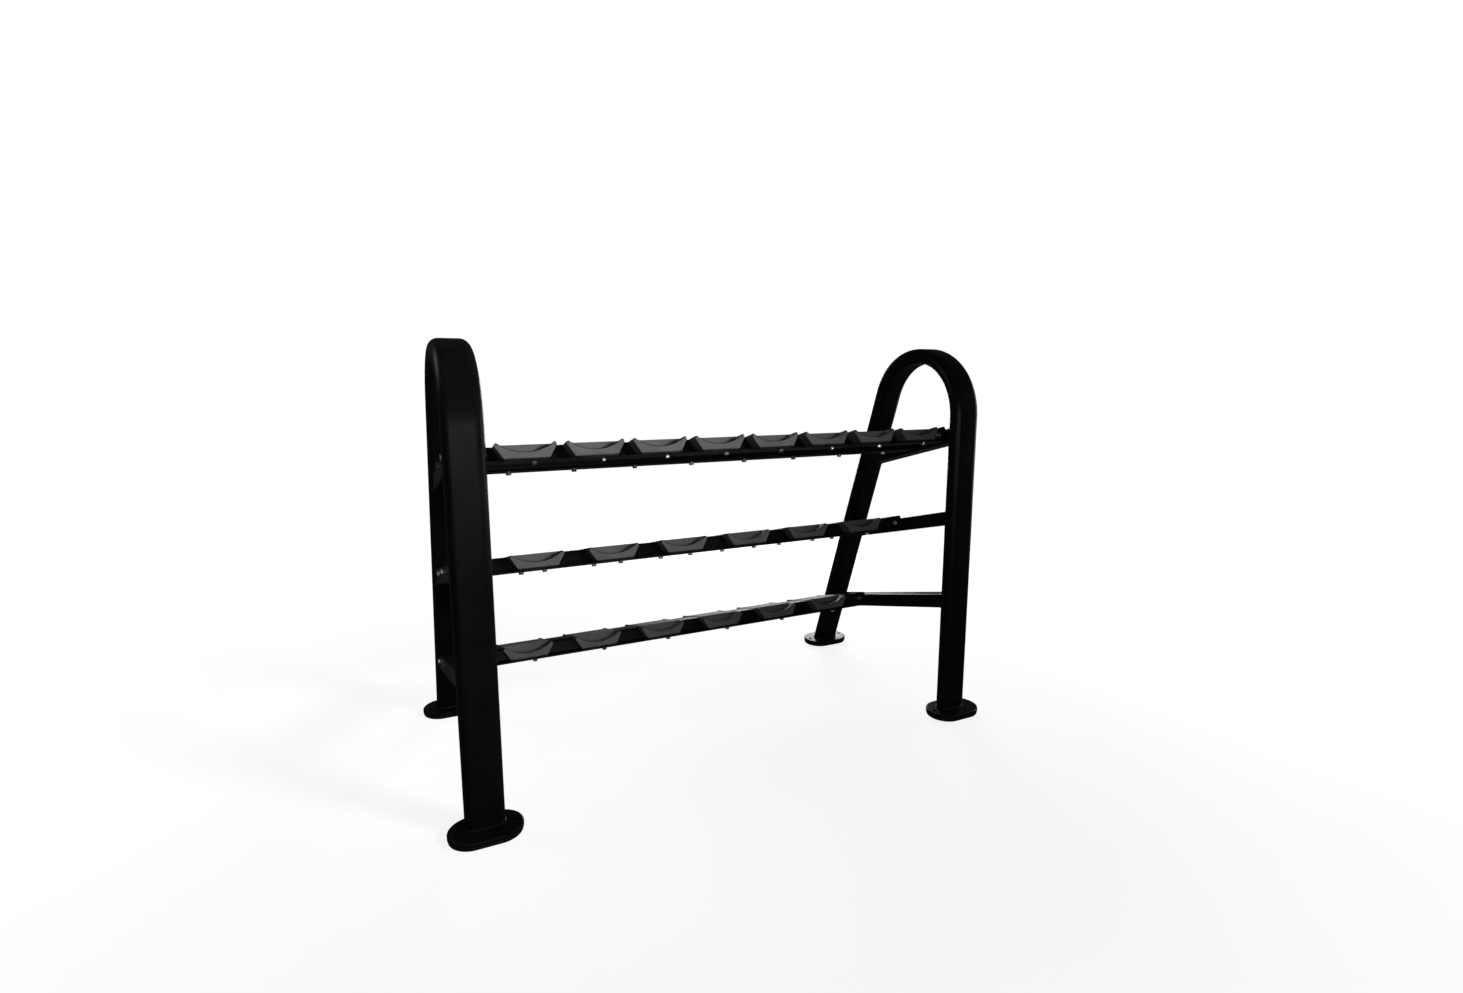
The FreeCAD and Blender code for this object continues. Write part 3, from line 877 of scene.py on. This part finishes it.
class RACK_OT_saddles(bpy.types.Operator):
    """Mould every saddle: a round cradle at each end, bridging the channel"""

    bl_idname = "rack.saddles"
    bl_label = "Saddles"

    def execute(self, context):
        for name in TIERS:
            tier = Tier(name)
            for node in saddles_of(name):
                self.mould(node, tier)
        return {"FINISHED"}

    def mould(self, node, tier):
        """Loft one saddle from its rear end face to its front one."""
        size = sizes()
        x = middle_x(node)
        half = size.saddle_length / 2
        outer = size.channel_width / 2 + size.saddle_fit
        wall = outer + size.saddle_skin
        edge = size.saddle_edge
        stations = []
        for k in range(SADDLE_EDGE_STEPS + 1):
            turn = math.radians(90.0 * k / SADDLE_EDGE_STEPS)
            stations.append((half - edge * (1 - math.sin(turn)),
                             self.cradle(edge * (1 - math.cos(turn)))))
        stations.reverse()
        stations.append((wall, self.cradle()))
        stations.append((wall, self.bridge()))
        stations.append((outer, self.bridge()))
        stations.append((outer, self.bridge(size.saddle_top - size.saddle_skin)))
        stations += [(-up, outline) for up, outline in reversed(stations)]
        bm = bmesh.new()
        loft(bm, [[tier.at(x + px, up, off) for px, off in outline]
                  for up, outline in stations])
        saddle = piece(node + "_moulding", bm, "saddle_moulding", [node],
                       smooth=math.radians(40))
        self.paint_rim_shade(saddle, tier, half - edge)

    def paint_rim_shade(self, saddle, tier, start):
        """Give the seat's rounded, upward-facing rims the painted-shade material."""
        if "rims" not in made_finishes:
            made_finishes["rims"] = rim_painted_shade()
        saddle.data.materials.append(made_finishes["rims"])
        back = tier.turn.inverted()
        for face in saddle.data.polygons:
            centre = back @ face.center
            normal = back.to_3x3() @ face.normal
            # Rim faces picked by how far they face upward get the painted shade.
            if abs(centre.y) > start and RIM_NORMALS[0] < normal.z < RIM_NORMALS[1]:
                face.material_index = 1

    def flank(self, tip_x, tip_off):
        """Right-hand side from the base to the tip, its corners rounded."""
        size = sizes()
        base, wide = size.saddle_base / 2, size.saddle_width / 2
        foot, shoulder = size.saddle_foot, size.saddle_top - size.saddle_shoulder
        corners = [(base, foot, SADDLE_BASE_CORNER), (wide, shoulder, size.saddle_corner),
                   (tip_x, tip_off, size.saddle_tip_corner)]
        ends = ([(0.0, foot)] + [(px, off) for px, off, _ in corners]
                + [(0.0, self.fall(tip_x, tip_off))])
        points = []
        for (px, off, radius), before, after in zip(corners, ends, ends[2:]):
            points += fillet((px, off), before, after, radius)
        return points

    def fall(self, tip_x, tip_off):
        """Where the tangent of the seat, or the flat top, would meet the middle line."""
        size = sizes()
        if tip_off <= size.saddle_top:
            return tip_off
        drop = size.cradle_depth + tip_off - size.saddle_top
        return tip_off - tip_x * tip_x / (seat_radius(tip_x, drop) - drop)

    def cradle(self, inset=0.0):
        """Section with the round seat, drawn in by inset all round."""
        size = sizes()
        tip_x = size.saddle_width / 2 - size.cradle_tip_inset
        tip_off = size.saddle_top + size.saddle_tip_rise
        drop = size.cradle_depth + size.saddle_tip_rise
        radius = seat_radius(tip_x, drop)
        right = self.flank(tip_x, tip_off)
        reach = right[-1][0]
        seat = []
        for k in range(SEAT_STEPS + 1):
            px = reach * math.sin(math.pi * (k / SEAT_STEPS - 0.5))
            seat.append((px, size.saddle_top - size.cradle_depth + radius
                         - math.sqrt(radius * radius - px * px)))
        return drawn_in(self.closed(right, seat), inset)

    def bridge(self, underside=None):
        """Straight-topped section; with an underside, only the plate above it."""
        size = sizes()
        tip_x = size.saddle_width / 2 - size.saddle_tip_inset
        right = self.flank(tip_x, size.saddle_top)
        reach = right[-1][0]
        flat = [(reach * math.sin(math.pi * (k / SEAT_STEPS - 0.5)), size.saddle_top)
                for k in range(SEAT_STEPS + 1)]
        outline = self.closed(right, flat)
        if underside is None:
            return outline
        crossing = [a[0] + (b[0] - a[0]) * (underside - a[1]) / (b[1] - a[1])
                    for a, b in zip(right, right[1:]) if a[1] < underside <= b[1]][0]
        return [(px, off) if off >= underside
                else (math.copysign(min(abs(px), crossing), px), underside)
                for px, off in outline]

    def closed(self, right, top):
        """Whole outline, anticlockwise: right side, top line, left side."""
        return right + top[-2:0:-1] + [(-px, off) for px, off in reversed(right)]


def seat_radius(tip_x, drop):
    """Radius of the arc through two tips, drop deep below them."""
    return (tip_x ** 2 + drop ** 2) / (2 * drop)


def fillet(corner, before, after, radius, steps=4):
    """Points of the arc that rounds a corner between two neighbours."""
    at = Vector(corner)
    one = (Vector(before) - at).normalized()
    two = (Vector(after) - at).normalized()
    half_angle = one.angle(two) / 2
    centre = at + (one + two).normalized() * (radius / math.sin(half_angle))
    start = at + one * (radius / math.tan(half_angle)) - centre
    end = at + two * (radius / math.tan(half_angle)) - centre
    sweep = start.angle_signed(end)
    return [tuple(centre + Matrix.Rotation(-sweep * k / steps, 2) @ start)
            for k in range(steps + 1)]


def drawn_in(outline, inset):
    """Closed outline moved inwards along its own normals."""
    if not inset:
        return outline
    result = []
    count = len(outline)
    for i in range(count):
        ax, az = outline[i - 1]
        bx, bz = outline[(i + 1) % count]
        length = math.hypot(bx - ax, bz - az)
        nx, nz = -(bz - az) / length, (bx - ax) / length
        result.append((outline[i][0] + nx * inset, outline[i][1] + nz * inset))
    return result


def hexagon(across_flats):
    """(x, y) outline of a hexagon, six points to a side."""
    corner = across_flats / math.sqrt(3)
    corners = [Vector((corner * math.cos(k * math.pi / 3), corner * math.sin(k * math.pi / 3)))
               for k in range(6)]
    return [tuple(a.lerp(b, step / 6)) for a, b in zip(corners, corners[1:] + corners[:1])
            for step in range(6)]


def hex_level(across_flats, height, chamfer):
    """One ring of a hex head: its corners cut by a cone, chamfer deep at the corners."""
    limit = across_flats / 2 * (1 + HEX_CORNER * (1 - chamfer))
    ring = []
    for x, y in hexagon(across_flats):
        reach = min(1.0, limit / math.hypot(x, y))
        ring.append((x * reach, y * reach, height))
    return ring


def round_level(radius, height):
    """One round ring of a fastener."""
    return [(radius * math.cos(a), radius * math.sin(a), height)
            for a in round_angles(FASTENER_STEPS)]


def add_rings(bm, place, rings, closed=False):
    """Loft rings given in a fastener's own coordinates, moved to its place."""
    loft(bm, [[place @ Vector(point) for point in ring] for ring in rings], closed=closed)


def thread_levels(radius, start, end, pitch):
    """Rings of a thread's crests and roots between two heights."""
    turns = max(1, round((end - start) / pitch))
    step = (end - start) / turns
    depth = THREAD_DEPTH * pitch
    rings = []
    for k in range(turns):
        rings.append(round_level(radius, start + k * step))
        rings.append(round_level(radius - depth, start + (k + 0.5) * step))
    rings.append(round_level(radius - depth, end))
    return rings


def add_bolt(bm, place, length, across_flats, height, diameter, pitch):
    """Hex bolt: head below the seat at z = 0, threaded shank up to length."""
    radius = diameter / 2
    crown, collar = across_flats * 0.45, across_flats * 0.46
    head = [round_level(across_flats * 0.42, -height + 0.25 * MM),
            round_level(crown, -height),
            hex_level(across_flats, -height + 0.15 * MM, 0.95),
            hex_level(across_flats, -height + 0.5 * MM, 0.45),
            hex_level(across_flats, -height + 0.9 * MM, 0.0),
            hex_level(across_flats, -0.45 * MM, 0.0),
            hex_level(across_flats, -0.4 * MM, 0.6),
            round_level(collar, -0.35 * MM),
            round_level(collar, 0.0),
            round_level(radius, 0.0)]
    thread_start = max(0.5 * MM, length - 3 * diameter)
    shank = thread_levels(radius, thread_start, length - 1.0 * MM, pitch)
    tip = [round_level(radius - 0.9 * MM, length)]
    add_rings(bm, place, head + shank + tip)


def add_nut(bm, place, across_flats, height, diameter, pitch):
    """Hex nut from z = 0 up, chamfered on both faces, with a threaded bore."""
    radius = diameter / 2
    chamfer, mouth, face = 0.9 * MM, radius + 0.5 * MM, across_flats * 0.45
    bore = thread_levels(radius, chamfer, height - chamfer, pitch)
    outside = [round_level(mouth, 0.0),
               round_level(face, 0.0),
               hex_level(across_flats, 0.2 * MM, 0.9),
               hex_level(across_flats, chamfer, 0.0),
               hex_level(across_flats, height - chamfer, 0.0),
               hex_level(across_flats, height - 0.2 * MM, 0.9),
               round_level(face, height),
               round_level(mouth, height)]
    add_rings(bm, place, outside + bore[::-1], closed=True)


def add_washer(bm, place, thick, outside, inside):
    """Stamped washer from z = 0 up: one edge rolled over, the other burred sharp."""
    edge = 0.3 * MM
    ro, ri = outside / 2, inside / 2
    rings = [round_level(ri, 0.0), round_level(ro - 0.1 * MM, 0.0), round_level(ro, 0.1 * MM),
             round_level(ro, thick - edge), round_level(ro - 0.3 * edge, thick - 0.3 * edge),
             round_level(ro - edge, thick), round_level(ri + edge, thick),
             round_level(ri, thick - edge)]
    add_rings(bm, place, rings, closed=True)


def add_insert(bm, place, length, outside, bore):
    """Knurled brass insert with two grooves."""
    ro, ri = outside / 2, bore / 2
    groove = 0.6 * MM
    rings = [round_level(ri, 0.0), round_level(ro - 0.4 * MM, 0.0), round_level(ro, 0.4 * MM)]
    for share in INSERT_GROOVES:
        low, high = length * share, length * share + 1.6 * MM
        rings += [round_level(ro, low), round_level(ro - groove, low + 0.3 * MM),
                  round_level(ro - groove, high - 0.3 * MM), round_level(ro, high)]
    rings += [round_level(ro, length - 0.4 * MM), round_level(ro - 0.4 * MM, length),
              round_level(ri, length)]
    knurled = []
    for ring in rings:
        knurled.append([(x * (1 - KNURL_DEPTH * (k % 2)), y * (1 - KNURL_DEPTH * (k % 2)), z)
                        if math.hypot(x, y) > ro - 0.1 * MM else (x, y, z)
                        for k, (x, y, z) in enumerate(ring)])
    add_rings(bm, place, knurled, closed=True)


class RACK_OT_fasteners(bpy.types.Operator):
    """Make the bolts, nuts, washers, inserts and pads"""

    bl_idname = "rack.fasteners"
    bl_label = "Fasteners and pads"

    def execute(self, context):
        for name in TIERS:
            self.saddle_hardware(name)
        self.end_hardware()
        return {"FINISHED"}

    def saddle_hardware(self, name):
        """Bolts, washers, inserts and pads of one tier's saddles."""
        size = sizes()
        tier = Tier(name)
        bolts, washers, inserts, pads = (bmesh.new() for _ in range(4))
        for node in saddles_of(name):
            for side in (1, -1):
                x = middle_x(node) - side * size.bolt_stagger
                up = side * size.bolt_reach
                here = tier.turn @ Matrix.Translation((x, up, 0.0))
                turned = here @ Matrix.Rotation(x * BOLT_TWIST, 4, "Z")
                below = Matrix.Translation((0, 0, -size.washer_8_thickness))
                length = (size.washer_8_thickness + size.saddle_foot + size.insert_length
                          - size.bolt_tip_gap)
                add_bolt(bolts, turned @ below, length, **SADDLE_BOLT)
                add_washer(washers, turned @ Matrix.Rotation(math.pi, 4, "X"),
                           size.washer_8_thickness, **SADDLE_WASHER)
                add_insert(inserts, here @ Matrix.Translation((0, 0, size.saddle_foot)),
                           size.insert_length, **INSERT)
                self.pad(pads, tier, middle_x(node), side, x, up)
        piece(name + "_saddle_bolt_set", bolts, "zinc_hardware", [name + "_saddle_bolts"])
        piece(name + "_saddle_washer_set", washers, "zinc_hardware", [name + "_saddle_washers"])
        piece(name + "_insert_set", inserts, "brass_inserts", [name + "_saddle_inserts"])
        piece(name + "_pad_set", pads, "saddle_pad_rubber", [name + "_saddle_pads"])

    def pad(self, bm, tier, middle, side, bolt_x, bolt_up):
        """Soft strip with rounded edges and a hole for its bolt."""
        size = sizes()
        width = size.saddle_base - 2 * size.pad_inset
        inner = size.channel_width / 2 + size.bend + PAD_BEND_GAP
        outer = size.saddle_length / 2 - size.pad_inset
        low, high = size.sheet, size.saddle_foot
        rings = []
        for inset, off in ((PAD_EDGE, low), (0.0, low + PAD_EDGE),
                           (0.0, high - PAD_EDGE), (PAD_EDGE, high)):
            outline = rounded_rectangle(width - 2 * inset, inner + inset, outer - inset,
                                        PAD_CORNER)
            rings.append([tier.at(middle + px, side * up, off) for px, up in outline])
        rows = loft(bm, rings, (False, False))
        bore = []
        for off in (low, high):
            bore.append([tier.at(bolt_x + PAD_HOLE * math.cos(a),
                                 bolt_up + PAD_HOLE * math.sin(a), off)
                         for a in round_angles(PAD_HOLE_STEPS)])
        hole = loft(bm, bore, (False, False))
        for face in (0, -1):
            fill_between(bm, [rows[face], hole[face]])

    def end_hardware(self):
        """Through bolts, washers and nuts that hold each tray to its crossbars."""
        size = sizes()
        bolts, washers, nuts = (bmesh.new() for _ in range(3))
        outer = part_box("top_left_crossbar")[1][0]
        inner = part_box("top_left_end_plate")[0][0]
        washer = size.washer_10_thickness
        reach = size.channel_width / 2 + END_WASHER_GAP + END_WASHER["outside"] / 2
        length = outer - inner + 2 * washer + END_NUT["height"] + END_BOLT_STICK_OUT
        for name in TIERS:
            tier = Tier(name)
            for end in (1, -1):
                for side in (1, -1):
                    spin = Matrix.Rotation(END_BOLT_TWIST * side + tier.z + end, 4, "Z")
                    facing = Matrix.Rotation(math.radians(-90.0 * end), 4, "Y")
                    for bm, x, thing in ((bolts, outer + washer, "bolt"),
                                         (washers, outer + washer, "washer"),
                                         (washers, inner, "washer"),
                                         (nuts, inner - washer, "nut")):
                        place = tier.turn @ Matrix.Translation(
                            (end * x, side * reach, size.end_bolt_height)) @ facing @ spin
                        if thing == "bolt":
                            add_bolt(bm, place, length, **END_BOLT)
                        elif thing == "washer":
                            add_washer(bm, place, washer, **END_WASHER)
                        else:
                            add_nut(bm, place, **END_NUT)
        piece("tray_end_bolt_set", bolts, "zinc_hardware", ["tray_end_bolts"])
        piece("tray_end_washer_set", washers, "zinc_hardware", ["tray_end_washers"])
        piece("tray_end_nut_set", nuts, "zinc_hardware", ["tray_end_nuts"])


class RACK_OT_stage(bpy.types.Operator):
    """Set the pale floor, the soft lights and the camera"""

    bl_idname = "rack.stage"
    bl_label = "Stage"

    def execute(self, context):
        self.floor()
        self.lights()
        self.camera()
        context.scene.view_settings.view_transform = "Standard"
        return {"FINISHED"}

    def floor(self):
        """A round pale floor under a pale world; neither lights the rack much."""
        material, tree = new_material("pale_floor")
        cloud = ramp(tree, noise(tree, 1.5, detail=3.0), 0.3, 0.7)
        spot = add_node(tree, "TexCoord").outputs["Object"]
        away = add_node(tree, "VectorMath", {0: spot}, operation="LENGTH").outputs["Value"]
        shade(material, {
            "Base Color": mix_colour(tree, cloud, (0.52, 0.52, 0.52), (0.55, 0.55, 0.55)),
            "Roughness": 0.85,
            "Specular IOR Level": 0.1,
            "Emission Color": (1.0, 1.0, 1.0, 1.0),
            "Emission Strength": ramp(tree, away, *FLOOR_GLOW),
        })
        bm = bmesh.new()
        rings = [[Vector((r * math.cos(a), r * math.sin(a), -FLOOR_DROP))
                  for a in round_angles(FLOOR_STEPS)] for r in FLOOR_RINGS]
        loft(bm, rings, (True, False))
        bmesh.ops.recalc_face_normals(bm, faces=bm.faces)
        mesh = bpy.data.meshes.new("floor")
        bm.to_mesh(mesh)
        bm.free()
        floor = bpy.data.objects.new("floor", mesh)
        floor.data.materials.append(material)
        bpy.context.scene.collection.objects.link(floor)
        floor.visible_glossy = False
        floor.visible_diffuse = False
        world = bpy.data.worlds.new("soft_studio")
        world.use_nodes = True
        bpy.context.scene.world = world
        tree = world.node_tree
        seen = add_node(tree, "LightPath").outputs["Is Camera Ray"]
        feed(tree, tree.nodes["Background"].inputs, {
            "Color": (1.0, 1.0, 1.0, 1.0),
            "Strength": ramp(tree, seen, 0.0, 1.0, WORLD_LIGHT, WORLD_SEEN),
        })

    def lights(self):
        """Area lamps, the key left out of reflections and the glint for hardware only."""
        middle = (CAD_BOX[0] + CAD_BOX[1]) / 2
        for name, place, aim, width, height, power, spread in LAMPS:
            lamp = bpy.data.lights.new(name, "AREA")
            lamp.shape = "RECTANGLE"
            lamp.size, lamp.size_y = width, height
            lamp.energy = power
            lamp.spread = math.radians(spread)
            obj = bpy.data.objects.new(name, lamp)
            obj.visible_camera = False
            obj.visible_glossy = name != "key"
            if name == "glint":
                obj.light_linking.receiver_collection = self.hardware()
            obj.location = place
            obj.rotation_mode = "QUATERNION"
            look = Vector(aim or middle) - Vector(place)
            obj.rotation_quaternion = look.to_track_quat("-Z", "Y")
            bpy.context.scene.collection.objects.link(obj)

    def hardware(self):
        """The bright fasteners, which have a lamp of their own."""
        group = bpy.data.collections.new("bright_hardware")
        for obj in bpy.context.scene.objects:
            if obj.type == "MESH" and finish_for("zinc_hardware").name in obj.data.materials:
                group.objects.link(obj)
        return group

    def camera(self):
        """Behind the rack's left end, looking along it and slightly down."""
        look = Vector((-math.sin(CAMERA_HEADING) * math.cos(CAMERA_PITCH),
                       -math.cos(CAMERA_HEADING) * math.cos(CAMERA_PITCH),
                       -math.sin(CAMERA_PITCH)))
        data = bpy.data.cameras.new("camera")
        data.sensor_width = CAMERA_SENSOR
        data.lens = CAMERA_LENS
        data.clip_end = CAMERA_REACH
        camera = bpy.data.objects.new("camera", data)
        camera.location = CAMERA_PLACE
        camera.rotation_mode = "QUATERNION"
        camera.rotation_quaternion = look.to_track_quat("-Z", "Y")
        bpy.context.scene.collection.objects.link(camera)
        bpy.context.scene.camera = camera


OPERATORS = (
    RACK_OT_end_frames,
    RACK_OT_feet,
    RACK_OT_crossbars,
    RACK_OT_trays,
    RACK_OT_saddles,
    RACK_OT_fasteners,
    RACK_OT_stage,
)


class RACK_PT_build(bpy.types.Panel):
    """Sidebar panel that lists the rack's pieces"""

    bl_label = "Dumbbell rack"
    bl_idname = "RACK_PT_build"
    bl_space_type = "VIEW_3D"
    bl_region_type = "UI"
    bl_category = "Rack"

    def draw(self, context):
        for operator in OPERATORS:
            self.layout.operator(operator.bl_idname)


CLASSES = (RackSizes, RackFinishes, *OPERATORS, RACK_PT_build)


def register():
    for cls in CLASSES:
        bpy.utils.register_class(cls)
    bpy.types.Scene.rack_sizes = PointerProperty(type=RackSizes)
    bpy.types.Scene.rack_finishes = PointerProperty(type=RackFinishes)


def unregister():
    del bpy.types.Scene.rack_finishes
    del bpy.types.Scene.rack_sizes
    for cls in reversed(CLASSES):
        bpy.utils.unregister_class(cls)


def main():
    register()
    bpy.ops.rack.end_frames()
    bpy.ops.rack.feet()
    bpy.ops.rack.crossbars()
    bpy.ops.rack.trays()
    bpy.ops.rack.saddles()
    bpy.ops.rack.fasteners()
    bpy.ops.rack.stage()


if __name__ == "__main__":
    main()
